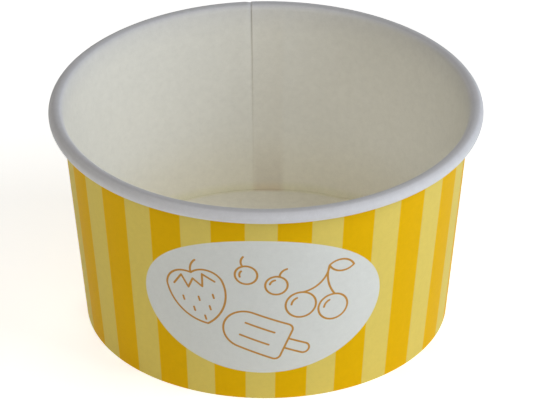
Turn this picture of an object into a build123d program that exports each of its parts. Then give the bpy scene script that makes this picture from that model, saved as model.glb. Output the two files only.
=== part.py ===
from build123d import *
import os
from math import acos, asin, atan2, cos, degrees, hypot, radians, sin, tan

# Paper ice cream cup: a rolled paperboard side wall and a recessed base disc.
#
# The side wall is one fan-shaped blank. It is rolled into a cone and lapped at a side seam at the
# back. Its top edge is curled outwards into the rim, and its bottom edge is turned in and up as a
# hem. The base disc is a second blank with a turned-down skirt, which the hem clasps to the wall.
#
# The origin is at the centre of the standing edge, +Z is up, and the front of the cup faces -Y.

# Driving dimensions, in millimetres
rim_diameter = 92.0  # over the rolled rim
cup_height = 49.5  # standing edge to the top of the rolled rim
base_diameter = 77.2  # outside of the wall at the standing edge
board = 0.35  # thickness of the coated paperboard
bead_diameter = 3.1  # outside of the rolled rim in section
tuck_gap = 0.2  # between the rim curl's cut edge and the wall, where two boards are lapped
fold_radius = 0.3  # on both sides of the standing edge
floor_rise = 5.6  # standing edge to the top face of the base disc
disc_bend_radius = 0.4  # inside radius where the base disc turns down into its skirt
hem_clearance = 0.65  # between the hem's cut edge and the start of that bend
skirt_lift = 0.2  # between the skirt's cut edge and the bottom of the hem
seal_gap = 0.03  # coating between the skirt and the board on each side of it
lap_width = 6.2  # overlap of the side seam, along the standing edge
lap_climb = 1.2  # run in which the outer lap climbs over the inner lap's edge

# Bearing of the inner lap's cut edge, in degrees from +X: just past the middle of the back
seam_bearing = 95.4

# Flats that stand for each round in section; the curl's hidden inside has half as many
curl_flat_count = 10
bend_flat_count = 3
fold_flat_count = 1

# Sizes that follow from the driving dimensions
base_radius = base_diameter / 2
bead_radius = bead_diameter / 2
curl_inside = bead_radius - board
curl_centre_r = rim_diameter / 2 - bead_radius
curl_centre_z = cup_height - bead_radius
skirt_depth = board + seal_gap
hem_depth = skirt_depth + board + seal_gap
hem_height = floor_rise - board - disc_bend_radius - hem_clearance
lap_angle = degrees(lap_width / base_radius)
climb_angle = degrees(lap_climb / base_radius)

# The wall's lean from upright: its outer face starts at the standing edge and is tangent to the
# inside of the curl
curl_run = curl_centre_r - base_radius
lean = atan2(curl_run, curl_centre_z) - asin(curl_inside / hypot(curl_run, curl_centre_z))

# Bearings in section square to the wall, in degrees: away from the cup's axis and towards it
outward = -degrees(lean)
inward = 180 - degrees(lean)

# The rim curl turns from the wall until its cut edge is tucked in beside the lapped wall
curl_turn = 360 - degrees(acos((curl_inside - board - tuck_gap) / bead_radius))
curl_end_bearing = inward - curl_turn


def wall_point(depth, height):
    """The section's point at a height, at a depth inside the wall's outer face, square to the wall."""
    return (base_radius + height * tan(lean) - depth / cos(lean), height)


def round_points(centre, radius, start, end, flats):
    """Points of a round in section, from one bearing about its centre to another, between its flats."""
    bearings = [radians(start + (end - start) * i / flats) for i in range(flats + 1)]
    return [(centre[0] + radius * cos(b), centre[1] + radius * sin(b)) for b in bearings]


def wall_section(outer_depth, inner_depth):
    """Closed section of the side wall, its rim curl and its hem, between two depths of board faces.

    The curl leaves the wall on a tangent, turns outwards and down, and ends in its cut edge. The hem
    turns in under the skirt of the base disc and up again inside it.
    """
    hem_inside = hem_depth + board
    curl = (curl_centre_r, curl_centre_z)
    fold_outside = wall_point(outer_depth + fold_radius, fold_radius)
    fold_inside = wall_point(hem_inside - fold_radius, fold_radius)
    outside = round_points(fold_outside, fold_radius, -90, outward, fold_flat_count)
    outside += round_points(curl, curl_inside + outer_depth, inward, curl_end_bearing, curl_flat_count // 2)
    inside = round_points(curl, curl_inside + inner_depth, curl_end_bearing, inward, curl_flat_count)
    inside += [
        wall_point(inner_depth, board),
        wall_point(hem_depth, board),
        wall_point(hem_depth, hem_height),
        wall_point(hem_inside, hem_height),
    ]
    inside += round_points(fold_inside, fold_radius, inward, 270, fold_flat_count)
    return make_face(Polyline(*outside, *inside, close=True))


def upright(section, bearing):
    """A section stood on its edge in the plane through the cup's axis at a bearing."""
    return Rot(0, 0, bearing) * (Plane.XZ * section)


def side_wall():
    """The rolled blank: a plain run round the cup, the climb at the seam and the lap of two boards."""
    plain = wall_section(0, board)
    climbed = wall_section(-board, 0)
    lapped = wall_section(-board, board)
    lap_end = seam_bearing - lap_angle
    plain_start = seam_bearing + climb_angle
    run = revolve(upright(plain, plain_start), Axis.Z, 360 - lap_angle - climb_angle)
    lap = revolve(upright(lapped, lap_end), Axis.Z, lap_angle)
    climb = loft([upright(climbed, seam_bearing), upright(plain, plain_start)], ruled=True)
    return run + lap + climb


def base_disc():
    """The floor of the cup: a flat disc whose rim turns down into a skirt along the wall."""
    skirt_inside = skirt_depth + board
    foot = board + skirt_lift
    bend = wall_point(skirt_inside + disc_bend_radius, floor_rise - board - disc_bend_radius)
    upper = [(0, floor_rise)]
    upper += round_points(bend, disc_bend_radius + board, 90, outward, bend_flat_count)
    upper += [wall_point(skirt_depth, foot)]
    lower = [wall_point(skirt_inside, foot)]
    lower += round_points(bend, disc_bend_radius, outward, 90, bend_flat_count)
    lower += [(0, floor_rise - board)]
    return revolve(Plane.XZ * make_face(Polyline(*upper, *lower, close=True)), Axis.Z)


def main():
    os.makedirs("parts", exist_ok=True)
    export_step(side_wall(), "parts/side_wall.step")
    export_step(base_disc(), "parts/base_disc.step")


main()
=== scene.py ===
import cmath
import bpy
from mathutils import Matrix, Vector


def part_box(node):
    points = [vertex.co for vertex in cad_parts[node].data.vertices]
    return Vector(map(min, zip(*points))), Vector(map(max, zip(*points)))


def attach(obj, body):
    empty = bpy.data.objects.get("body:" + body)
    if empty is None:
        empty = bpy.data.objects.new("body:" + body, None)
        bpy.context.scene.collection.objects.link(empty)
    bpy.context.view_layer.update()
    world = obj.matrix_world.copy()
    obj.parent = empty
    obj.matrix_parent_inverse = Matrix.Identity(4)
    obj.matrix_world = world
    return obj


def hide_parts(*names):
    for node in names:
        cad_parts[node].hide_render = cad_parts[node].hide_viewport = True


bl_info = {
    "name": "Paper ice cream cup",
    "version": (1, 0, 0),
    "blender": (4, 5, 0),
    "location": "3D View > Sidebar > Cup",
    "description": "A striped paperboard cup with a rolled rim, a lapped side seam and a hemmed base disc",
    "category": "Object",
}

from math import acos, asin, atan2, cos, hypot, pi, radians, sin, tan
from types import SimpleNamespace

import bmesh
import bpy
import numpy as np
from bpy.props import FloatProperty, FloatVectorProperty, PointerProperty
from mathutils import Matrix, Vector

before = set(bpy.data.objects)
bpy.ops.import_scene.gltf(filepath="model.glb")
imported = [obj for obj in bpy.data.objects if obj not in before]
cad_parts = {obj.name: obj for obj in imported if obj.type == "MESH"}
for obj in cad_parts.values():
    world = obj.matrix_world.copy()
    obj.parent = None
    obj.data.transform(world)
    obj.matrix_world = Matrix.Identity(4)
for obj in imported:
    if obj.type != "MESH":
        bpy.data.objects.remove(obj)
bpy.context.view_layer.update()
DISC_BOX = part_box("base_disc")

MM = 0.001
FULL_TURN = 2 * pi
FRONT = 1.5 * pi  # bearing of -Y from +X
FRONT_HALF = pi / 4  # half the angle that the front takes up

# Mesh steps: points of each round and rows of each straight run in section, and stations round the cup
FOLD_STEPS = 7
CURL_STEPS = 20
BEAD_STEPS = 44
WALL_STEPS = 22
HEM_STEPS = 5
LAP_STATIONS = 12
CLIMB_STATIONS = 12
FRONT_STATIONS = 120
SIDE_STATIONS = 140
DISC_STATIONS = 300
DISC_STEPS = 16
BEND_STEPS = 7
SHARP_ANGLE = radians(40)
WELD = 0.0001 * MM
QUAD = 4  # corners of a plain face

# Finishes of the side wall and of the base disc, in the order of their material slots
PRINTED, LINED, CUT, BLANK = range(4)
DISC_LINED, DISC_CUT, DISC_BARE = range(3)

# The rolled wall's wave: turns round the cup and phase of each cosine
WAVES = ((2, 0.7), (3, 2.1), (5, 4.0))


# Properties


def length(name, description, default):
    """A size in metres."""
    return FloatProperty(name=name, description=description, default=default, unit="LENGTH", precision=5)


def angle(name, description, degrees):
    """An angle, given in degrees."""
    return FloatProperty(name=name, description=description, default=radians(degrees), subtype="ANGLE")


def share(name, description, default):
    """A number with no unit."""
    return FloatProperty(name=name, description=description, default=default)


def watts(name, description, default):
    """The power of a light."""
    return FloatProperty(name=name, description=description, default=default, unit="POWER")


def colour(name, description, default):
    """A colour in linear light."""
    return FloatVectorProperty(
        name=name, description=description, default=default, subtype="COLOR", min=0, max=1
    )


class CupSizes(bpy.types.PropertyGroup):
    """Sizes of the two paperboard blanks, as the CAD solids have them, and their small strays from those."""

    rim_diameter: length("Rim diameter", "Over the rolled rim", 92 * MM)
    cup_height: length("Height", "Standing edge to the top of the rim", 49.5 * MM)
    base_diameter: length("Base diameter", "Outside of the wall at the standing edge", 77.2 * MM)
    board: length("Board", "Thickness of the paperboard", 0.35 * MM)
    bead_diameter: length("Rim thickness", "Outside of the rolled rim in section", 3.1 * MM)
    tuck_gap: length("Tuck gap", "Between the rim's cut edge and the lapped wall", 0.2 * MM)
    fold_radius: length("Fold radius", "Rounds of the standing edge", 0.3 * MM)
    floor_rise: length("Floor rise", "Standing edge to the top of the base disc", DISC_BOX[1].z)
    disc_bend: length("Disc bend", "Inside radius of the base disc's turned-down edge", 0.4 * MM)
    hem_clearance: length("Hem clearance", "Between the hem's cut edge and the disc's bend", 0.65 * MM)
    skirt_lift: length("Skirt lift", "Between the skirt's cut edge and the hem's bottom", 0.2 * MM)
    seal_gap: length("Seal gap", "Coating on each side of the skirt", 0.03 * MM)
    lap_width: length("Lap width", "Overlap of the side seam", 6.2 * MM)
    lap_climb: length("Lap climb", "Run in which the outer lap climbs over the inner one", 1.2 * MM)
    rim_step: share("Rim step", "Part of the board that the lap's inner edge stands proud at the rim", 0.5)
    foot_step: share("Foot step", "The same at the foot, where it is pressed harder", 0.12)
    seam_bearing: angle("Seam bearing", "Bearing of the inner lap's cut edge from +X", 95.4)
    out_of_round: length("Out of round", "How far the rolled wall strays from a true cone", 0.05 * MM)
    disc_sag: length("Disc sag", "How far the middle of the base disc hangs down", 0.12 * MM)
    disc_edge: length("Disc edge", "Outside radius of the base disc's pressed edge", 0.1 * MM)


class CupPrint(bpy.types.PropertyGroup):
    """Sizes and inks of the print on the outside."""

    stripe_pairs: share("Stripe pairs", "In a full turn; they don't meet evenly at the seam", 19.2)
    gold_share: share("Gold share", "Part of each pair that is gold", 0.515)
    stripe_lead: angle("Stripe lead", "How far the front pale stripe's foot stands from the middle", -0.7)
    stripe_skew: angle("Stripe skew", "Turn of the stripes from foot to rim", 0.75)
    panel_reach: angle("Panel reach", "Half the angle that the oval panel takes up", 36.5)
    panel_rise: length("Panel rise", "Height of the oval panel's middle", 23.9 * MM)
    panel_half: length("Panel half height", "Half the height of the oval panel", 17 * MM)
    stroke: length("Stroke", "Width of the drawn lines", 0.46 * MM)
    ink_edge: length("Ink edge", "How far an ink edge spreads", 0.07 * MM)
    bleed: length("Bleed", "How far the print runs on inside the standing edge", 1.6 * MM)
    margin: length("Margin", "Unprinted strip along the outer lap's cut edge", 0.3 * MM)
    gold: colour("Gold", "Ink of the dark stripes", (0.785, 0.459, 0.001))
    pale: colour("Pale yellow", "Ink of the light stripes", (0.743, 0.595, 0.138))
    line: colour("Orange", "Ink of the drawn lines", (0.55, 0.28, 0.063))
    white: colour("Panel white", "Unprinted board outside", (0.715, 0.737, 0.726))


class CupPaper(bpy.types.PropertyGroup):
    """Colours and grain of the board itself, and painted light on its inside: a warm glow near the floor, and
    shade in the crease, over the lap and on the rim.
    """

    lining: colour("Lining", "Coated white of the inside", (0.90, 0.893, 0.845))
    # Painted warm glow: light that comes through the yellow wall and bounces inside, painted into the lining
    # towards the floor
    lining_low_glow: colour("Low lining", "The same white towards the floor", (0.918, 0.883, 0.772))
    # Painted shade over the lap at the side seam, darkest near the floor
    lap: colour("Lap", "Tone of the doubled board at the side seam, near the floor", (0.815, 0.768, 0.67))
    # Painted warm shade in the crease where the wall meets the floor
    crease: colour("Crease", "Warm tone where the wall meets the floor", (0.89, 0.855, 0.68))
    # Painted shade in that crease, browner, at the side seam
    lap_crease: colour("Lap crease", "Browner tone of that crease at the side seam", (0.83, 0.745, 0.585))
    # Painted grey-blue shade over the rolled rim, which gets little light from above
    rim: colour("Rim", "Stretched coating over the rolled rim", (0.685, 0.69, 0.735))
    # Painted shade on top of the rim, which faces the dim light above
    rim_top_shade: colour("Rim top", "Rubbed coating on top of the rim", (0.558, 0.558, 0.59))
    underside: colour("Underside", "Uncoated face of the base disc", (0.68, 0.66, 0.60))
    cut_edge: colour("Cut edge", "Bare fibres of a cut edge", (0.60, 0.55, 0.45))
    mottle_size: length("Mottle size", "Size of the clouds in the board", 1.5 * MM)
    fibre_size: length("Fibre size", "Size of the fibres in the board", 0.22 * MM)
    fibre_height: length("Fibre height", "Relief of the fibres", 0.012 * MM)


class CupStage(bpy.types.PropertyGroup):
    """Camera, light and floor."""

    focal_length: share("Focal length", "Of the camera, in millimetres", 399.5)
    distance: length("Distance", "Camera to the middle of the cup", 1.2622)
    azimuth: angle("Azimuth", "Camera's turn from the front towards +X", 1.4)
    elevation: angle("Elevation", "Camera's height over the horizon", 30.575)
    roll: angle("Roll", "Camera's turn about its own line of sight", -0.19)
    aim_across: length("Aim across", "Aim beside the middle of the cup", 0.03 * MM)
    aim_up: length("Aim up", "Aim above the middle of the cup", 0.78 * MM)
    key_power: watts("Key", "Soft light low at the right", 3.8)
    side_power: watts("Side", "Soft light high at the right", 4.9)
    front_power: watts("Front", "Soft light high in front", 2.4)
    left_power: watts("Left", "Soft light high at the left", 2.6)
    back_power: watts("Back", "Soft light behind", 4.0)
    key_tint: colour("Key tint", "Of the low light at the right", (0.89, 0.945, 1.0))
    side_tint: colour("Side tint", "Of the high light at the right", (0.95, 0.98, 1.0))
    front_tint: colour("Front tint", "Of the light in front", (1.0, 0.965, 0.9))
    left_tint: colour("Left tint", "Of the light at the left", (1.0, 0.935, 0.8))
    back_tint: colour("Back tint", "Of the light behind", (1.0, 1.0, 1.0))
    fill: colour("Fill", "Light from all around", (0.0, 0.0, 0.0))
    floor: colour("Floor", "Plain pale floor", (0.8, 0.8, 0.79))
    ground_glow: share("Ground glow", "Light that the floor itself gives", 0.37)


# Geometry


def ease(t):
    """From 0 to 1 with level ends: 3 t squared less 2 t cubed."""
    return t * t * (3 - 2 * t)


def cup_form(s):
    """What follows from the driving sizes.

    The wall's outer face leans so that it starts at the standing edge and is tangent to the inside
    of the curl. The curl turns on until its cut edge stands the tuck gap away from a lapped wall.
    """
    f = SimpleNamespace(base=s.base_diameter / 2, bead=s.bead_diameter / 2)
    f.curl_inside = f.bead - s.board
    f.curl = np.array([s.rim_diameter / 2 - f.bead, s.cup_height - f.bead])
    f.skirt = s.board + s.seal_gap
    f.hem = f.skirt + s.board + s.seal_gap
    f.hem_inside = f.hem + s.board
    f.hem_height = s.floor_rise - s.board - s.disc_bend - s.hem_clearance
    run = f.curl[0] - f.base
    f.lean = atan2(run, f.curl[1]) - asin(f.curl_inside / hypot(run, f.curl[1]))
    f.inward = pi - f.lean
    f.curl_end = f.inward - FULL_TURN + acos((f.curl_inside - s.board - s.tuck_gap) / f.bead)
    return f


def on_wall(f, depth, height):
    """Section points (r, z): r is the base radius plus height times tan lean less depth over cos lean."""
    r = f.base + height * tan(f.lean) - depth / cos(f.lean)
    return np.stack(np.broadcast_arrays(r, height), -1)


def on_round(centre, radius, start, end, steps):
    """Section points of a round: the centre plus the radius times (cos b, sin b), b from start to end."""
    b = np.linspace(start, end, steps)
    return centre + np.multiply.outer(np.asarray(radius), np.stack([np.cos(b), np.sin(b)], -1))


def between(first, last, steps):
    """Points inside a straight run: first plus t times (last less first), t strictly between 0 and 1."""
    t = np.linspace(0, 1, steps + 2)[1:-1, None]
    return first + t * (last - first)


def wall_stations(s, f):
    """Stations round the cup: their bearings, the depths of both faces, and the length run so far.

    The inner face has one depth at the rim and one at the foot. The lap is two boards thick. At the
    seam's inner cut edge the inner face steps out by a part of the board, and both faces then ease
    in along the climb. The plain run goes round to the outer lap's cut edge, where the outer face
    steps out on to the lap again.
    """
    lap, climb = s.lap_width / f.base, s.lap_climb / f.base
    front = FRONT - FRONT_HALF, FRONT + FRONT_HALF
    ends = [s.seam_bearing + climb, *front, s.seam_bearing - lap + FULL_TURN]
    steps = [SIDE_STATIONS, FRONT_STATIONS, SIDE_STATIONS]
    runs = [np.linspace(a, b, n + 1)[1:] for a, b, n in zip(ends, ends[1:], steps)]
    rise = ease(np.linspace(0, 1, CLIMB_STATIONS))
    lapped, climbing, plain = np.zeros(LAP_STATIONS), 1 - rise, np.zeros(sum(steps))
    bearing = np.concatenate(
        [
            np.linspace(s.seam_bearing - lap, s.seam_bearing, LAP_STATIONS),
            np.linspace(s.seam_bearing, s.seam_bearing + climb, CLIMB_STATIONS),
            *runs,
        ]
    )
    outer = -s.board * np.concatenate([lapped + 1, climbing, plain])
    step = np.concatenate([lapped, climbing, plain])
    inner = s.board * (1 - s.rim_step * step), s.board * (1 - s.foot_step * step)
    climbs = np.maximum(np.abs(np.diff(outer)), np.abs(np.diff(inner[0])))
    run = np.concatenate([[0], np.cumsum(np.abs(np.diff(bearing)) * f.base + climbs)])
    return bearing, outer, inner, np.append(run, run[-1] + s.board)


def wall_section(s, f, outer, inner, bleed):
    """The wall's closed section at each station, (stations, points, 2), and its runs as (steps, finish).

    In order: the standing edge's outer fold, the outer face, the inside of the curl, its cut edge,
    the outside of the curl, the inner face, the slot for the skirt, the hem and the inner fold.
    """
    outer, rim_inner, foot_inner = (depth[:, None] for depth in (outer, *inner))
    level = np.zeros_like(outer)
    fold_out = on_wall(f, outer + s.fold_radius, s.fold_radius + level)
    fold_in = on_wall(f, f.hem_inside - s.fold_radius + level, s.fold_radius + level)
    foot = fold_out + on_round(np.zeros(2), s.fold_radius, -pi / 2, -f.lean, FOLD_STEPS)
    tuck = on_round(f.curl, (f.curl_inside + outer)[:, 0], f.inward, f.curl_end, CURL_STEPS)
    bead = on_round(f.curl, (f.curl_inside + rim_inner)[:, 0], f.curl_end, f.inward, BEAD_STEPS)
    slot_wall = on_wall(f, foot_inner, s.board + level)
    slot_hem = on_wall(f, f.hem + level, s.board + level)
    hem_top = on_wall(f, f.hem + level, f.hem_height + level)
    hem_lip = on_wall(f, f.hem_inside + level, f.hem_height + level)
    bleed_end = on_wall(f, f.hem_inside + level, bleed + level)
    turn_in = fold_in + on_round(np.zeros(2), s.fold_radius, f.inward, 1.5 * pi, FOLD_STEPS)
    parts = [
        (foot, PRINTED),
        (between(foot[:, -1:], tuck[:, :1], WALL_STEPS), PRINTED),
        (tuck[:, :1], PRINTED),
        (tuck[:, 1:], BLANK),
        (bead[:, :1], CUT),
        (bead[:, 1:], LINED),
        (between(bead[:, -1:], slot_wall, WALL_STEPS), LINED),
        (slot_wall, LINED),
        (slot_hem, LINED),
        (hem_top, LINED),
        (hem_lip, CUT),
        (between(hem_lip, bleed_end, HEM_STEPS), BLANK),
        (bleed_end, BLANK),
        (turn_in, PRINTED),
    ]
    points = np.concatenate([p for p, _ in parts], 1)
    # The finish of the run that ends at each point; the run that closes the section is printed
    finish = np.concatenate([np.full(p.shape[1], kind) for p, kind in parts])
    return points, np.append(finish[1:], PRINTED)


def wander(bearing):
    """A slow wave round the cup within -1 and 1: the mean of cosines of a few turns each."""
    return sum(np.cos(turns * bearing + phase) for turns, phase in WAVES) / len(WAVES)


def turned(section, bearing):
    """Section points (r, z) carried round the axis: (r cos b, r sin b, z)."""
    r, z = section[..., 0], section[..., 1]
    return np.stack([r * np.cos(bearing)[:, None], r * np.sin(bearing)[:, None], z], -1)


def grid_faces(stations, points, closed):
    """Corners of the quads of a grid that closes round the stations, and along the section if closed."""
    i = np.arange(stations)[:, None]
    j = np.arange(points if closed else points - 1)[None]
    along, over = (i + 1) % stations, (j + 1) % points
    here, there = i * points, along * points
    return np.stack(np.broadcast_arrays(here + j, there + j, there + over, here + over), -1).reshape(-1, QUAD)


def grid_piece(name, points, closed, finish, materials, bake_map=None):
    """An object from a grid of points (stations, points, 3) that closes round the stations.

    finish gives the material slot of each quad along the section, or of every quad. Points that meet
    are welded, so seams and poles are closed. A face that gains a point on its edge by that becomes a
    fan about its middle, and edges past the sharp angle stay crisp.
    """
    stations, count = points.shape[:2]
    faces = grid_faces(stations, count, closed)
    mesh = bpy.data.meshes.new(name)
    mesh.from_pydata(points.reshape(-1, 3).tolist(), [], faces.tolist())
    for material in materials:
        mesh.materials.append(material)
    mesh.polygons.foreach_set("material_index", np.ascontiguousarray(finish, np.int32).ravel())
    mesh.polygons.foreach_set("use_smooth", np.ones(len(faces), bool))
    if bake_map is not None:
        layer = mesh.uv_layers.new(name="OFBake")
        layer.uv.foreach_set("vector", bake_map.astype(np.float32).ravel())
    work = bmesh.new()
    work.from_mesh(mesh)
    bmesh.ops.remove_doubles(work, verts=work.verts, dist=WELD)
    bmesh.ops.dissolve_degenerate(work, edges=work.edges, dist=WELD)
    work.to_mesh(mesh)
    sides = np.zeros(len(mesh.polygons), np.int32)
    mesh.polygons.foreach_get("loop_total", sides)
    work.faces.ensure_lookup_table()
    bmesh.ops.poke(work, faces=[work.faces[i] for i in np.flatnonzero(sides > QUAD)])
    work.to_mesh(mesh)
    work.free()
    mesh.set_sharp_from_angle(angle=SHARP_ANGLE)
    piece = bpy.data.objects.new(name, mesh)
    bpy.context.scene.collection.objects.link(piece)
    return piece


# Bake layout of the side wall, as the low and high end of each strip in parts of the map's height: the
# printed face of the front, of the two sides, and then the other runs of the section
FRONT_STRIP = (0.40, 0.99)
SIDE_STRIPS = ((0.335, 0.39), (0.27, 0.325))
BEAD_STRIP = (0.215, 0.26)
INSIDE_STRIP = (0.10, 0.205)
HEM_STRIP = (0.055, 0.09)
TUCK_STRIP = (0.01, 0.045)
MAP_MARGIN = 0.008


def wall_bake_map(section, run):
    """Texture places for the wall's quads: each run of the section is a strip, as long as the map is wide.

    Along a strip the place is the share of the length run round the cup, and across it the share of
    the length along the section. The printed face of the front has a strip of its own, the tallest.
    """
    plain = section[-1]
    starts = np.cumsum([0, FOLD_STEPS + WALL_STEPS, CURL_STEPS, BEAD_STEPS + WALL_STEPS + 1])
    steps = np.hypot(*np.diff(np.append(plain, plain[:1], 0), axis=0).T)
    gone = np.append(0, np.cumsum(steps))
    bead_end = starts[2] + BEAD_STEPS - 1
    cuts = [0, starts[1], starts[2], bead_end, starts[3], len(plain)]
    strips = [FRONT_STRIP, TUCK_STRIP, BEAD_STRIP, INSIDE_STRIP, HEM_STRIP]
    low, high = np.zeros(len(plain)), np.zeros(len(plain))
    for a, b, (bottom, top) in zip(cuts, cuts[1:], strips):
        places = bottom + (top - bottom) * (gone[a : b + 1] - gone[a]) / (gone[b] - gone[a])
        low[a:b], high[a:b] = places[:-1], places[1:]
    left = LAP_STATIONS + CLIMB_STATIONS + SIDE_STATIONS - 1
    sectors = [(0, left), (left, left + FRONT_STATIONS), (left + FRONT_STATIONS, len(run) - 1)]
    along = (run - run[0]) / (run[-1] - run[0])
    u = np.stack([along[:-1], along[1:]], -1)[:, None].repeat(len(plain), 1)
    v = np.stack([low, high], -1)[None].repeat(len(run) - 1, 0)
    for (a, b), strip in zip(sectors, (SIDE_STRIPS[0], FRONT_STRIP, SIDE_STRIPS[1])):
        part = (along[a : b + 1] - along[a]) / (along[b] - along[a])
        u[a:b, : cuts[1]] = np.stack([part[:-1], part[1:]], -1)[:, None]
        across = (v[a:b, : cuts[1]] - FRONT_STRIP[0]) / (FRONT_STRIP[1] - FRONT_STRIP[0])
        v[a:b, : cuts[1]] = strip[0] + (strip[1] - strip[0]) * across
    u = MAP_MARGIN + (1 - 2 * MAP_MARGIN) * u
    return np.stack([u[..., [0, 1, 1, 0]], v[..., [0, 0, 1, 1]]], -1)


def disc_section(s, f):
    """The base disc's section from the middle of its underside to the middle of its top.

    The top runs out to the bend, turns down along the wall to the skirt's cut edge, and comes back
    inside the board. The middle hangs by the sag times one less the squared share of the radius. The
    points are given back in reverse, so that the disc's faces turn outwards.
    """
    skirt_inside, foot = f.skirt + s.board, s.board + s.skirt_lift
    bend = on_wall(f, skirt_inside + s.disc_bend, s.floor_rise - s.board - s.disc_bend)
    edge = on_wall(f, f.skirt + s.disc_edge, s.floor_rise - s.disc_edge)
    over = on_round(edge, s.disc_edge, pi / 2, -f.lean, BEND_STEPS)
    under = on_round(bend, s.disc_bend, -f.lean, pi / 2, BEND_STEPS)
    middle = np.array([0, s.floor_rise])
    low_middle = middle - (0, s.board)
    skirt = [on_wall(f, depth, np.float64(foot)) for depth in (f.skirt, skirt_inside)]
    top = np.concatenate([middle[None], between(middle, over[0], DISC_STEPS)])
    bottom = np.concatenate([between(under[-1], low_middle, DISC_STEPS), low_middle[None]])
    points = np.concatenate(
        [
            top,
            over,
            between(over[-1], skirt[0], HEM_STEPS),
            skirt,
            between(skirt[1], under[0], HEM_STEPS),
            under,
            bottom,
        ]
    )
    points[:, 1] -= s.disc_sag * np.clip(1 - (points[:, 0] / over[0, 0]) ** 2, 0, 1)
    lined = len(top) + len(over) + HEM_STEPS
    finish = np.full(len(points) - 1, DISC_BARE)
    finish[:lined] = DISC_LINED
    finish[lined] = DISC_CUT
    return points[::-1], finish[::-1]


# Node trees

# The Mix node's sockets for colours
MIX_FACTOR, MIX_FIRST, MIX_SECOND, MIX_COLOUR = 0, 6, 7, 2


class Tree:
    """Short calls for the nodes that the finishes use."""

    def __init__(self, tree):
        self.tree = tree
        tree.nodes.clear()

    def node(self, kind, inputs=(), **settings):
        """A node with its settings, and its inputs set or linked."""
        made = self.tree.nodes.new(kind)
        for key, value in settings.items():
            setattr(made, key, value)
        for key, value in dict(inputs).items():
            if isinstance(value, bpy.types.NodeSocket):
                self.tree.links.new(value, made.inputs[key])
            else:
                made.inputs[key].default_value = value
        return made

    def maths(self, operation, *values, clamp=False):
        """The result of a Math node."""
        return self.node("ShaderNodeMath", enumerate(values), operation=operation, use_clamp=clamp).outputs[0]

    def vectors(self, operation, *values):
        """The vector that a Vector Math node gives."""
        return self.node("ShaderNodeVectorMath", enumerate(values), operation=operation).outputs["Vector"]

    def scaled(self, vector, factor):
        """A vector or colour times a number."""
        places = {0: vector, "Scale": factor}
        return self.node("ShaderNodeVectorMath", places, operation="SCALE").outputs["Vector"]

    def measure(self, operation, *values):
        """The number that a Vector Math node gives."""
        return self.node("ShaderNodeVectorMath", enumerate(values), operation=operation).outputs["Value"]

    def vector(self, x, y, z=0.0):
        """A vector from three numbers."""
        return self.node("ShaderNodeCombineXYZ", {"X": x, "Y": y, "Z": z}).outputs[0]

    def apart(self, vector):
        """The three numbers of a vector."""
        return self.node("ShaderNodeSeparateXYZ", {0: vector}).outputs

    def ramp(self, value, start, end, low=0.0, high=1.0):
        """The low level up to the start and the high one from the end on, with an eased change between."""
        places = {"Value": value, "From Min": start, "From Max": end, "To Min": low, "To Max": high}
        return self.node("ShaderNodeMapRange", places, interpolation_type="SMOOTHSTEP").outputs[0]

    def noise(self, place, scale, detail, roughness):
        """Even noise about one half."""
        places = {"Vector": place, "Scale": scale, "Detail": detail, "Roughness": roughness}
        return self.node("ShaderNodeTexNoise", places).outputs[0]

    def mix(self, factor, first, second):
        """The first colour where the factor is 0, and the second where it is 1."""
        places = {MIX_FACTOR: factor, MIX_FIRST: first, MIX_SECOND: second}
        return self.node("ShaderNodeMix", places, data_type="RGBA").outputs[MIX_COLOUR]

    def group(self, name, inputs):
        """The outputs of a shared node group."""
        return self.node("ShaderNodeGroup", inputs, node_tree=bpy.data.node_groups[name]).outputs


def new_group(name, inputs, outputs):
    """An empty node group with its named sockets, and the outputs of its input node."""
    made = bpy.data.node_groups.new(name, "ShaderNodeTree")
    kinds = {"vector": "NodeSocketVector", "value": "NodeSocketFloat", "colour": "NodeSocketColor"}
    for side, sockets in (("INPUT", inputs), ("OUTPUT", outputs)):
        for label, kind in sockets.items():
            made.interface.new_socket(label, in_out=side, socket_type=kinds[kind])
    tree = Tree(made)
    return tree, tree.node("NodeGroupInput").outputs


def close_group(tree, outputs):
    """The group's output node."""
    tree.node("NodeGroupOutput", outputs)


GRAIN_STRETCH = (1.0, 1.0, 2.6)  # fibres lie more round the cup than up it
CLOUD_NOISE = (4.0, 0.75)  # detail and roughness
FIBRE_NOISE = (3.0, 0.65)
NOISE_MIDDLE = 0.5


def grain_group():
    """Paper grain: soft clouds of the board and fine fibres that lie round the cup, both about one half."""
    tree, given = new_group(
        "Paper grain",
        {"Place": "vector", "Clouds per metre": "value", "Fibres per metre": "value"},
        {"Clouds": "value", "Fibres": "value"},
    )
    clouds = tree.noise(given["Place"], given["Clouds per metre"], *CLOUD_NOISE)
    lying = tree.vectors("MULTIPLY", given["Place"], GRAIN_STRETCH)
    fibres = tree.noise(lying, given["Fibres per metre"], *FIBRE_NOISE)
    close_group(tree, {"Clouds": clouds, "Fibres": fibres})


def tone_group():
    """Paper tone: a colour made lighter and darker by the clouds and the fibres, each to its own depth."""
    values = dict.fromkeys(("Clouds", "Fibres", "Cloud depth", "Fibre depth"), "value")
    tree, given = new_group("Paper tone", {"Colour": "colour", **values}, {"Colour": "colour"})
    clouds, fibres = (
        tree.maths("MULTIPLY", tree.maths("SUBTRACT", given[grain], NOISE_MIDDLE), given[depth])
        for grain, depth in (("Clouds", "Cloud depth"), ("Fibres", "Fibre depth"))
    )
    level = tree.maths("ADD", 1.0, tree.maths("ADD", clouds, fibres))
    close_group(tree, {"Colour": tree.scaled(given["Colour"], level)})


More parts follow.
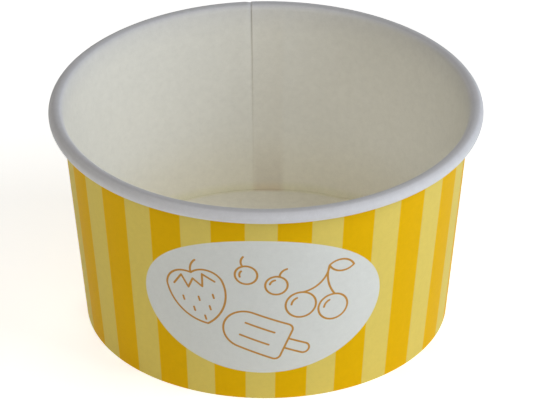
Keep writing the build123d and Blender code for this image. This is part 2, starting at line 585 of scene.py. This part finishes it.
def line_group():
    """Drawn line: distance from a place to the straight line between two points.

    The nearest point is the start plus h times the way to the end, with h the place's share along
    the line, kept between 0 and 1.
    """
    tree, given = new_group(
        "Drawn line", {"Place": "vector", "Start": "vector", "End": "vector"}, {"Distance": "value"}
    )
    off = tree.vectors("SUBTRACT", given["Place"], given["Start"])
    way = tree.vectors("SUBTRACT", given["End"], given["Start"])
    reach = tree.maths(
        "DIVIDE", tree.measure("DOT_PRODUCT", off, way), tree.measure("DOT_PRODUCT", way, way), clamp=True
    )
    close_group(tree, {"Distance": tree.measure("DISTANCE", off, tree.scaled(way, reach))})


def arc_group():
    """Drawn arc: distance from a place to an arc about a centre.

    The place's bearing from the arc's middle is kept within half the arc's angle. The nearest point
    is the centre plus the radius times (cos, sin) of that bearing.
    """
    tree, given = new_group(
        "Drawn arc",
        {"Place": "vector", "Centre": "vector", "Radius": "value", "Middle": "value", "Half": "value"},
        {"Distance": "value"},
    )
    off = tree.vectors("SUBTRACT", given["Place"], given["Centre"])
    parts = tree.apart(off)
    bearing = tree.maths("ARCTAN2", parts["Y"], parts["X"])
    turn = tree.maths("WRAP", tree.maths("SUBTRACT", bearing, given["Middle"]), pi, -pi)
    least = tree.maths("MULTIPLY", given["Half"], -1.0)
    kept = tree.maths("MAXIMUM", tree.maths("MINIMUM", turn, given["Half"]), least)
    held = tree.maths("ADD", kept, given["Middle"])
    toward = tree.vector(tree.maths("COSINE", held), tree.maths("SINE", held))
    near = tree.scaled(toward, given["Radius"])
    close_group(tree, {"Distance": tree.measure("DISTANCE", off, near)})


# Drawings on the panel. A place is a complex number of millimetres on the unrolled wall, right and
# up from the middle of the panel. A stroke is a straight line (start, end) or an arc (centre, radius,
# bearing of its middle, half its angle).

SHINE_BEARING = radians(150)


def bow(start, end, rise):
    """An arc through two points that rises to the left of the way between them."""
    half = abs(end - start) / 2
    radius = (half * half + rise * rise) / (2 * abs(rise))
    aside = 1j * (end - start) / abs(end - start) * (1 if rise > 0 else -1)
    centre = (start + end) / 2 + aside * (abs(rise) - radius)
    bend = asin(min(1, half / radius))
    return (centre, radius, cmath.phase(aside), bend if abs(rise) <= half else pi - bend)


def ring(centre, radius):
    """A whole circle."""
    return (centre, radius, 0.0, pi)


def placed(strokes, at, turn, size):
    """Strokes enlarged and turned about their own origin, and moved to a place."""
    swing = cmath.rect(size, turn)
    return [
        (at + swing * k[0], at + swing * k[1])
        if len(k) == 2
        else (at + swing * k[0], size * k[1], k[2] + turn, k[3])
        for k in strokes
    ]


def shine(centre, radius, half):
    """A short arc inside a round fruit, at its upper left."""
    return (centre, radius, SHINE_BEARING, half)


def lolly(width=10.0, height=15.0, corner=1.4, stick=2.7, stick_length=5.6, groove=1.8, run=(0.6, 3.6)):
    """An ice lolly: a bar with a round top and two grooves, on a flat stick.

    The grooves stand at groove to each side. run gives their ends, over the round's middle and over
    the bottom.
    """
    half, low = width / 2, -height / 2
    top, grip, tip = height / 2 - half, stick / 2, low - stick_length + stick / 2
    sides = [(complex(x, top), complex(x, low + corner)) for x in (-half, half)]
    corners = [
        (complex(side * (half - corner), low + corner), corner, -pi / 2 + side * pi / 4, pi / 4)
        for side in (-1, 1)
    ]
    grooves = [(complex(x, top + run[0]), complex(x, low + run[1])) for x in (-groove, groove)]
    stick_sides = [(complex(x, low), complex(x, tip)) for x in (-grip, grip)]
    ends = [(complex(0, top), half, pi / 2, pi / 2), (complex(0, tip), grip, -pi / 2, pi / 2)]
    bottom = [(complex(corner - half, low), complex(half - corner, low))]
    return sides + corners + grooves + stick_sides + ends + bottom


def cherries(radius=3.3):
    """Two cherries on curved stalks that meet under a leaf."""
    left, right, joint = -3.6 - 3.4j, 3.7 - 4.4j, 1.6 + 6.6j
    leaf_tip = joint + 5.6 - 0.5j
    stalks = [bow(left + radius * 1j, joint, -1.5), bow(right + radius * 1j, joint, 0.9)]
    leaf = [bow(joint, leaf_tip, 1.5), bow(joint, leaf_tip, -1.5)]
    shines = [shine(centre, radius * 0.62, radians(30)) for centre in (left, right)]
    return [ring(left, radius), ring(right, radius)] + stalks + leaf + shines


def strawberry(seed=0.9):
    """A strawberry: two cheeks that run down to a tip, a pointed crown, a stalk and seeds."""
    cheek, tip, crown = 6.3 + 2.4j, 0.3 - 8.0j, 0.1 + 4.9j
    far_cheek = complex(-cheek.real, cheek.imag)
    flanks = [bow(tip, far_cheek, 2.1), bow(cheek, tip, 2.1)]
    shoulders = [bow(far_cheek, crown, 1.7), bow(crown, cheek, 1.7)]
    points = [-4.6 + 2.3j, -2.3 + 4.4j, -1.5 + 1.3j, 0.1 + 3.4j, 1.7 + 1.3j, 2.5 + 4.4j, 4.7 + 2.3j]
    leaves = list(zip(points, points[1:]))
    stalk = [bow(crown, 1.9 + 8.0j, 0.5)]
    spots = [-3.4 - 0.9j, 0.1 - 1.2j, 3.4 - 0.9j, -1.7 - 3.7j, 1.9 - 3.7j, 0.2 - 6.0j]
    return flanks + shoulders + leaves + stalk + [(at, at - seed * 1j) for at in spots]


def berry(radius=2.3):
    """A small round berry with a shine, on a short curved stalk."""
    top = radius * 1j
    return [ring(0j, radius), bow(top, top + 0.9 + 2.3j, 0.4), shine(0j, radius * 0.6, radians(32))]


def drawings():
    """All strokes on the panel: a lolly aslant between two fruits, and a pair of berries above it."""
    return (
        placed(strawberry(), -13.8 + 2.4j, radians(14), 1.0)
        + placed(cherries(), 11.9 + 3.3j, radians(-5), 0.97)
        + placed(lolly(), -1.4 - 6.8j, radians(68), 0.94)
        + placed(berry(), -3.2 + 8.2j, radians(18), 1.0)
        + placed(berry(), 3.0 + 5.6j, radians(-16), 1.0)
    )


def flat(place):
    """A complex number as a vector."""
    return (place.real, place.imag, 0.0)


def nearest_stroke(tree, place):
    """Distance from a place on the panel to the nearest stroke: the least of their distances."""
    least = None
    for k in drawings():
        if len(k) == 2:
            found = tree.group("Drawn line", {"Place": place, "Start": flat(k[0]), "End": flat(k[1])})
        else:
            sizes = {"Place": place, "Centre": flat(k[0]), "Radius": k[1], "Middle": k[2], "Half": k[3]}
            found = tree.group("Drawn arc", sizes)
        least = found[0] if least is None else tree.maths("MINIMUM", least, found[0])
    return least


# Finishes

GLOW_REACH = 17 * MM  # how far the painted warm glow on the lining reaches up from the floor
CREASE_REACH = 2.6 * MM  # the crease's painted shade, up the wall
CREASE_INWARD = 1.2 * MM  # the same, in over the floor
LAP_FADE = 0.024  # soft ends of the lap's painted shade, as an angle
LAP_REACH = 14 * MM  # the lap's full painted shade fades over this height
LAP_SHADE = 0.19  # how much of its full painted shade the lap shows above that
TOP_SHADE_DEPTH = 0.35 * MM  # the rim's top, where its painted shade eases in
RIM_FADE = 0.6 * MM  # the rim's painted shade, inside the curl and short of its middle
PAPER_SHINE = 0.03  # specular level of matt coated board
ROUGHNESS_SPREAD = 0.06  # either side of a finish's own roughness, by its fibres
FIBRE_SPREAD = (0.25, 0.75)  # the fibres' values that reach those ends
CRACK_RANGE = (0.22 * MM, 0.42 * MM)  # the ink cracked off over the standing edge, by height
CRACK_WAVER = 0.5 * MM  # how far the clouds move that height
CRACK_SHARE = 0.45  # the white that shows through there

# Roughness, and depth of the clouds and of the fibres
PRINT_TOUCH = (0.46, 0.13, 0.12)
LINING_TOUCH = (0.50, 0.17, 0.18)
BLANK_TOUCH = (0.55, 0.08, 0.10)
BARE_TOUCH = (0.75, 0.14, 0.16)
CUT_TOUCH = (0.90, 0.20, 0.50)

# Grain of the bare underside and of the cut edges, against that of the coated faces
BARE_GRAIN = 1.4
CUT_GRAIN = 0.5


def opaque(rgb):
    """A colour with its alpha."""
    return (*rgb, 1.0)


def finish_tree(name):
    """A new material's tree, with the place on the object and a shader that leads to its output."""
    material = bpy.data.materials.new(name)
    material.use_nodes = True
    tree = Tree(material.node_tree)
    shader = tree.node("ShaderNodeBsdfPrincipled", {"Specular IOR Level": PAPER_SHINE})
    tree.node("ShaderNodeOutputMaterial", {"Surface": shader.outputs[0]})
    place = tree.node("ShaderNodeTexCoord").outputs["Object"]
    return material, tree, shader, place


def paper_grain(tree, place, paper, coarser=1.0):
    """Clouds and fibres at the board's own sizes."""
    sizes = {
        "Place": place,
        "Clouds per metre": 1 / (paper.mottle_size * coarser),
        "Fibres per metre": 1 / (paper.fibre_size * coarser),
    }
    grain = tree.group("Paper grain", sizes)
    return grain["Clouds"], grain["Fibres"]


def set_paper(tree, shader, surface, clouds, fibres, touch, relief):
    """Links a paper surface to its shader: its toned colour, its roughness and its fibres' relief."""
    roughness, cloud_depth, fibre_depth = touch
    tone = {
        "Colour": surface,
        "Clouds": clouds,
        "Fibres": fibres,
        "Cloud depth": cloud_depth,
        "Fibre depth": fibre_depth,
    }
    level = tree.ramp(fibres, *FIBRE_SPREAD, roughness - ROUGHNESS_SPREAD, roughness + ROUGHNESS_SPREAD)
    bump = tree.node("ShaderNodeBump", {"Height": fibres, "Strength": 1.0, "Distance": relief})
    links = tree.tree.links
    links.new(tree.group("Paper tone", tone)["Colour"], shader.inputs["Base Color"])
    links.new(level, shader.inputs["Roughness"])
    links.new(bump.outputs[0], shader.inputs["Normal"])


def printed_board(sizes, art, paper):
    """Coated board printed with gold and pale stripes, a white oval and fine orange drawings.

    The bearing from the front is the arctangent of x over -y, counted from the outer lap's cut edge
    all the way round to it. A stripe's place is the share of its pair that the bearing has gone,
    less the lead and the skew at its height. The oval is the ellipse of bearing over reach and height
    over half height. A thin margin is bare along the outer lap's cut edge, and the ink is cracked
    over the standing edge.
    """
    f = cup_form(sizes)
    material, tree, shader, place = finish_tree("striped_print")
    clouds, fibres = paper_grain(tree, place, paper)
    x, y, z = tree.apart(place)
    start = sizes.seam_bearing - sizes.lap_width / f.base - FRONT
    from_front = tree.maths("ARCTAN2", x, tree.maths("MULTIPLY", y, -1.0))
    bearing = tree.maths("WRAP", from_front, start + FULL_TURN, start)
    ragged = tree.maths("MULTIPLY", tree.maths("SUBTRACT", fibres, NOISE_MIDDLE), art.ink_edge)

    lead = tree.maths("MULTIPLY_ADD", z, art.stripe_skew / sizes.cup_height, art.stripe_lead)
    pairs = tree.maths("MULTIPLY", tree.maths("SUBTRACT", bearing, lead), art.stripe_pairs / FULL_TURN)
    off = tree.maths("ABSOLUTE", tree.maths("SUBTRACT", tree.maths("FRACT", pairs), 0.5))
    pair_width = FULL_TURN * f.base / art.stripe_pairs
    inside = tree.maths("MULTIPLY", tree.maths("SUBTRACT", art.gold_share / 2, off), pair_width)
    gold = tree.ramp(tree.maths("ADD", inside, ragged), -art.ink_edge, art.ink_edge)
    surface = tree.mix(gold, opaque(art.pale), opaque(art.gold))

    up = tree.maths("SUBTRACT", z, art.panel_rise)
    across = tree.maths("DIVIDE", bearing, art.panel_reach)
    out = tree.measure("LENGTH", tree.vector(across, tree.maths("DIVIDE", up, art.panel_half)))
    inside = tree.maths("MULTIPLY", tree.maths("SUBTRACT", 1.0, out), art.panel_half)
    panel = tree.ramp(tree.maths("ADD", inside, ragged), -art.ink_edge, art.ink_edge)
    surface = tree.mix(panel, surface, opaque(art.white))

    panel_radius = f.base + art.panel_rise * tan(f.lean)
    drawn_at = tree.vector(
        tree.maths("MULTIPLY", bearing, panel_radius / MM),
        tree.maths("MULTIPLY", up, 1 / (cos(f.lean) * MM)),
    )
    width, edge = art.stroke / MM / 2, art.ink_edge / MM / 2
    line = tree.ramp(nearest_stroke(tree, drawn_at), width - edge, width + edge, 1.0, 0.0)
    line = tree.maths("MULTIPLY", line, panel)
    surface = tree.mix(line, surface, opaque(art.line))

    from_edge = tree.maths("MULTIPLY", tree.maths("SUBTRACT", bearing, start), f.base)
    margin_ends = art.margin - art.ink_edge, art.margin + art.ink_edge
    bare = tree.ramp(tree.maths("ADD", from_edge, ragged), *margin_ends, 1.0, 0.0)
    surface = tree.mix(bare, surface, opaque(art.white))
    wavering = tree.maths("ADD", z, tree.maths("MULTIPLY", clouds, CRACK_WAVER))
    cracked = tree.ramp(wavering, *CRACK_RANGE, CRACK_SHARE, 0.0)
    surface = tree.mix(cracked, surface, opaque(art.white))
    set_paper(tree, shader, surface, clouds, fibres, PRINT_TOUCH, paper.fibre_height)
    return material


def plain_board(name, tint, paper, touch, coarser=1.0):
    """Unprinted board: one tint under the paper's clouds and fibres."""
    material, tree, shader, place = finish_tree(name)
    clouds, fibres = paper_grain(tree, place, paper, coarser)
    set_paper(tree, shader, opaque(tint), clouds, fibres, touch, paper.fibre_height * coarser)
    return material


def lined_board(sizes, paper):
    """Coated white board with painted light: a warm glow towards the floor, warm shade in its crease,
    and grey-blue shade on the rolled rim.

    Every painted tone eases in with a length: the low glow and the crease's shade with the height over
    the floor, the rim's shade with the distance from the axis, and the shade on the rim's top with the
    depth under it. Between the bearings of the lap's two edges the crease's shade is browner, and the
    wall has a painted shade over the lap, which is strongest at the floor.
    """
    f = cup_form(sizes)
    material, tree, shader, place = finish_tree("white_lining")
    clouds, fibres = paper_grain(tree, place, paper)
    x, y, z = tree.apart(place)
    out = tree.measure("LENGTH", tree.vector(x, y))
    rise = tree.maths("SUBTRACT", z, sizes.floor_rise)
    # Painted warm glow low on the lining, easing out up the wall
    low = tree.ramp(rise, 0.0, GLOW_REACH, 1.0, 0.0)
    surface = tree.mix(low, opaque(paper.lining), opaque(paper.lining_low_glow))

    bearing = tree.maths("ARCTAN2", y, x)
    lap_start = sizes.seam_bearing - sizes.lap_width / f.base
    # The lap's bearings, where the wall gets painted shade and the crease gets a browner painted shade
    lap = tree.maths(
        "MULTIPLY",
        tree.ramp(bearing, lap_start - LAP_FADE, lap_start + LAP_FADE),
        tree.ramp(bearing, sizes.seam_bearing - LAP_FADE, sizes.seam_bearing + LAP_FADE, 1.0, 0.0),
    )
    # Painted shade in the crease, browner between the lap's edges
    painted_crease_shade = tree.mix(lap, opaque(paper.crease), opaque(paper.lap_crease))
    near_wall = tree.ramp(out, f.base - CREASE_INWARD, f.base)
    creased = tree.ramp(rise, 0.0, CREASE_REACH, 1.0, 0.0)
    # Painted shade over the lap, strongest at the floor
    doubled = tree.maths("MULTIPLY", lap, tree.ramp(rise, 0.0, LAP_REACH, 1.0, LAP_SHADE))
    surface = tree.mix(tree.maths("MULTIPLY", doubled, near_wall), surface, opaque(paper.lap))
    surface = tree.mix(tree.maths("MULTIPLY", creased, near_wall), surface, painted_crease_shade)

    # Painted grey-blue shade over the rolled rim, easing in with the distance from the axis
    rim_tone = tree.ramp(out, f.curl[0] - f.bead - RIM_FADE, f.curl[0] - RIM_FADE)
    # Painted shade on the rim's top, easing in with the depth under it
    top_tone = tree.ramp(z, sizes.cup_height - TOP_SHADE_DEPTH, sizes.cup_height)
    rim = tree.mix(top_tone, opaque(paper.rim), opaque(paper.rim_top_shade))
    surface = tree.mix(rim_tone, surface, rim)
    set_paper(tree, shader, surface, clouds, fibres, LINING_TOUCH, paper.fibre_height)
    return material


def shared_groups():
    """The node groups, built once."""
    for name, build in {
        "Paper grain": grain_group,
        "Paper tone": tone_group,
        "Drawn line": line_group,
        "Drawn arc": arc_group,
    }.items():
        if name not in bpy.data.node_groups:
            build()


def board_finish(context, kind):
    """One of the cup's finishes, made when it is first asked for."""
    sizes, art, paper = context.scene.cup_sizes, context.scene.cup_print, context.scene.cup_paper
    shared_groups()
    if kind in bpy.data.materials:
        return bpy.data.materials[kind]
    return {
        "striped_print": lambda: printed_board(sizes, art, paper),
        "white_lining": lambda: lined_board(sizes, paper),
        "blank_board": lambda: plain_board(kind, art.white, paper, BLANK_TOUCH),
        "bare_board": lambda: plain_board(kind, paper.underside, paper, BARE_TOUCH, BARE_GRAIN),
        "cut_edge": lambda: plain_board(kind, paper.cut_edge, paper, CUT_TOUCH, CUT_GRAIN),
    }[kind]()


# Operators


class CUP_OT_side_wall(bpy.types.Operator):
    """Rolls the printed side wall with its rim, seam and hem"""

    bl_idname = "cup.side_wall"
    bl_label = "Build side wall"

    def execute(self, context):
        s, art = context.scene.cup_sizes, context.scene.cup_print
        f = cup_form(s)
        bearing, outer, inner, run = wall_stations(s, f)
        section, finish = wall_section(s, f, outer, inner, art.bleed)
        section[..., 0] += s.out_of_round * wander(bearing)[:, None] * section[..., 1] / s.cup_height
        finish = np.broadcast_to(finish, section.shape[:2]).copy()
        finish[[LAP_STATIONS - 1, -1]] = CUT
        kinds = ("striped_print", "white_lining", "cut_edge", "blank_board")
        piece = grid_piece(
            "side_wall_board",
            turned(section, bearing),
            True,
            finish,
            [board_finish(context, k) for k in kinds],
            wall_bake_map(section, run),
        )
        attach(piece, "root")
        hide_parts("side_wall")
        return {"FINISHED"}


class CUP_OT_base_disc(bpy.types.Operator):
    """Presses the base disc with its turned-down skirt"""

    bl_idname = "cup.base_disc"
    bl_label = "Build base disc"

    def execute(self, context):
        s = context.scene.cup_sizes
        section, finish = disc_section(s, cup_form(s))
        bearing = np.linspace(0, FULL_TURN, DISC_STATIONS, endpoint=False)
        section = np.broadcast_to(section, (DISC_STATIONS, *section.shape))
        finish = np.broadcast_to(finish, (DISC_STATIONS, len(finish)))
        kinds = ("white_lining", "cut_edge", "bare_board")
        piece = grid_piece(
            "base_disc_board",
            turned(section, bearing),
            False,
            finish,
            [board_finish(context, k) for k in kinds],
        )
        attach(piece, "root")
        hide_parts("base_disc")
        return {"FINISHED"}


# Where each soft light stands, in metres
LIGHTS = {
    "key": (1.0, -0.35, 0.2),
    "side": (0.85, -0.3, 0.75),
    "front": (0.15, -0.85, 0.75),
    "left": (-0.88, -0.3, 0.68),
    "back": (0.0, 1.05, 0.5),
}
LIGHT_SIZE = 0.7
FLOOR_HALF = 6.0
FLOOR_DROP = 0.02 * MM  # under the standing edge
FLOOR_GLOW = 0.66  # the floor's own light as the camera sees it
WHITE = (1.0, 1.0, 1.0, 1.0)


def seen_directly(tree):
    """1 for the camera, and 0 for light on the object."""
    return tree.node("ShaderNodeLightPath").outputs["Is Camera Ray"]


def pale_floor(stage):
    """The floor's finish: matt and pale, lifted to white for the camera, and clear from below."""
    material = bpy.data.materials.new("pale_floor")
    material.use_nodes = True
    tree = Tree(material.node_tree)
    matt = tree.node("ShaderNodeBsdfDiffuse", {"Color": opaque(stage.floor)})
    lift = tree.ramp(seen_directly(tree), 0.0, 1.0, stage.ground_glow, FLOOR_GLOW)
    glow = tree.node("ShaderNodeEmission", {"Color": WHITE, "Strength": lift})
    lit = tree.node("ShaderNodeAddShader", {0: matt.outputs[0], 1: glow.outputs[0]})
    clear = tree.node("ShaderNodeBsdfTransparent")
    below = tree.node("ShaderNodeNewGeometry").outputs["Backfacing"]
    both = tree.node("ShaderNodeMixShader", {0: below, 1: lit.outputs[0], 2: clear.outputs[0]})
    tree.node("ShaderNodeOutputMaterial", {"Surface": both.outputs[0]})
    return material


def studio_world(stage):
    """Even fill from all around, and white where it is seen directly."""
    world = bpy.data.worlds.new("studio")
    world.use_nodes = True
    tree = Tree(world.node_tree)
    shown = tree.mix(seen_directly(tree), opaque(stage.fill), WHITE)
    sky = tree.node("ShaderNodeBackground", {"Color": shown})
    tree.node("ShaderNodeOutputWorld", {"Surface": sky.outputs[0]})
    return world


def looking(way):
    """The turn of a light or a camera that looks along a way, with its top up."""
    return way.to_track_quat("-Z", "Y").to_matrix()


def soft_light(name, at, aim, power, tint):
    """A square soft light that looks at a point."""
    lamp = bpy.data.lights.new(name, "AREA")
    lamp.size = LIGHT_SIZE
    lamp.energy = power
    lamp.color = tint
    light = bpy.data.objects.new(name, lamp)
    light.matrix_world = Matrix.Translation(at) @ looking(aim - Vector(at)).to_4x4()
    light.visible_camera = False
    bpy.context.scene.collection.objects.link(light)


class CUP_OT_stage(bpy.types.Operator):
    """Sets the floor, the light and the camera"""

    bl_idname = "cup.stage"
    bl_label = "Set stage"

    def execute(self, context):
        s, stage = context.scene.cup_sizes, context.scene.cup_stage
        corners = np.array([(-1, -1), (1, -1), (1, 1), (-1, 1)]) * FLOOR_HALF
        mesh = bpy.data.meshes.new("floor")
        mesh.from_pydata(np.column_stack([corners, np.full(4, -FLOOR_DROP)]).tolist(), [], [(0, 1, 2, 3)])
        mesh.materials.append(pale_floor(stage))
        floor = bpy.data.objects.new("floor", mesh)
        context.scene.collection.objects.link(floor)
        context.scene.world = studio_world(stage)

        middle = Vector((0, 0, s.cup_height / 2))
        for name, at in LIGHTS.items():
            power, tint = getattr(stage, name + "_power"), getattr(stage, name + "_tint")
            soft_light(name, at, middle, power, tint)

        camera = bpy.data.objects.new("camera", bpy.data.cameras.new("camera"))
        camera.data.lens = stage.focal_length
        level = cos(stage.elevation)
        back = Vector((sin(stage.azimuth) * level, -cos(stage.azimuth) * level, sin(stage.elevation)))
        eye = middle + back * stage.distance
        aim = middle + looking(-back) @ Vector((stage.aim_across, stage.aim_up, 0))
        facing = looking(aim - eye) @ Matrix.Rotation(stage.roll, 3, "Z")
        camera.matrix_world = Matrix.Translation(eye) @ facing.to_4x4()
        context.scene.collection.objects.link(camera)
        context.scene.camera = camera
        context.scene.view_settings.view_transform = "Standard"
        return {"FINISHED"}


class CUP_PT_sidebar(bpy.types.Panel):
    """Lists the cup's sizes, print, paper and stage"""

    bl_idname = "CUP_PT_sidebar"
    bl_label = "Paper ice cream cup"
    bl_space_type = "VIEW_3D"
    bl_region_type = "UI"
    bl_category = "Cup"

    def draw(self, context):
        for name, group in GROUPS.items():
            box = self.layout.box()
            for size in group.__annotations__:
                box.prop(getattr(context.scene, name), size)
        for operator in (CUP_OT_side_wall, CUP_OT_base_disc, CUP_OT_stage):
            self.layout.operator(operator.bl_idname)


GROUPS = {"cup_sizes": CupSizes, "cup_print": CupPrint, "cup_paper": CupPaper, "cup_stage": CupStage}
CLASSES = (*GROUPS.values(), CUP_OT_side_wall, CUP_OT_base_disc, CUP_OT_stage, CUP_PT_sidebar)


def register():
    """Makes the classes known, and gives the scene its groups of properties."""
    for cls in CLASSES:
        bpy.utils.register_class(cls)
    for name, group in GROUPS.items():
        setattr(bpy.types.Scene, name, PointerProperty(type=group))


def unregister():
    """Takes both away again."""
    for name in GROUPS:
        delattr(bpy.types.Scene, name)
    for cls in reversed(CLASSES):
        bpy.utils.unregister_class(cls)


def main():
    """Builds both pieces and the stage."""
    register()
    bpy.ops.cup.side_wall()
    bpy.ops.cup.base_disc()
    bpy.ops.cup.stage()
    bpy.context.view_layer.update()


if __name__ == "__main__":
    main()
